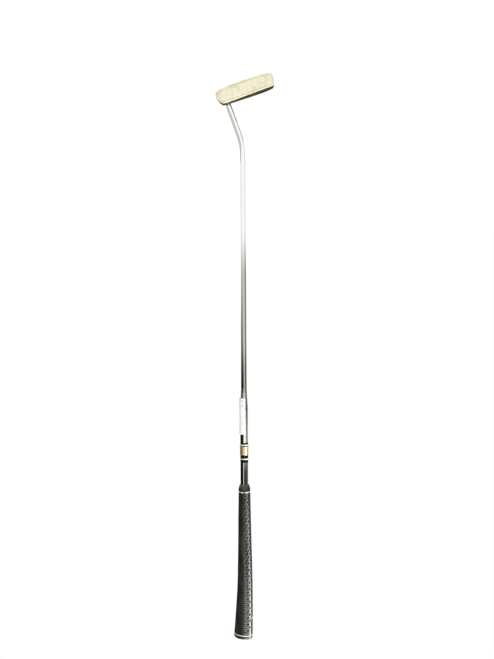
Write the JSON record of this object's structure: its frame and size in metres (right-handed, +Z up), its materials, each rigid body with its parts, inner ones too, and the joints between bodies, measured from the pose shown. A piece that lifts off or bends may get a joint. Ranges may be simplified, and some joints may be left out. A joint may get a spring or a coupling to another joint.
{
  "type": "golf putter",
  "caption": "Right-handed mallet putter with a brass head, a bent chrome shaft and a pistol-shaped rubber grip.",
  "frame": {"origin": "on the flat strip of the sole that the club rests on at address, below the middle of the face", "axes": "+Z up from the ground, -Y the way the striking face looks, -X to the toe and +X to the heel; the shaft leans to +X"},
  "size_m": [0.3644, 0.0388, 0.8678],
  "materials": {
    "head_brass": "satin cast, worn bright on the face and dark on the crown",
    "adhesive": "cured epoxy",
    "plug_plastic": "moulded",
    "shaft_chrome": "bright plated steel",
    "band_dark_film": "glossy printed film",
    "band_gold_foil": "bright foil",
    "band_silver": "bright",
    "label_paper": "matt",
    "tape_paper": "matt",
    "grip_rubber": "moulded, finely textured",
    "grip_white_paint": "paint in a groove"
  },
  "bodies": {
    "root": {"putter_head": "head_brass", "socket_adhesive": "adhesive", "tip_plug": "plug_plastic", "shaft": "shaft_chrome", "band_film": "band_dark_film", "band_gold": "band_gold_foil", "band_ring_head_end": "band_silver", "band_ring_grip_end": "band_silver", "price_label": "label_paper", "grip_tape": "tape_paper", "grip": "grip_rubber", "grip_mouth_ring": "grip_white_paint", "grip_butt_ring": "grip_white_paint", "grip_tick_mark": "grip_white_paint"}
  },
  "joints": []
}
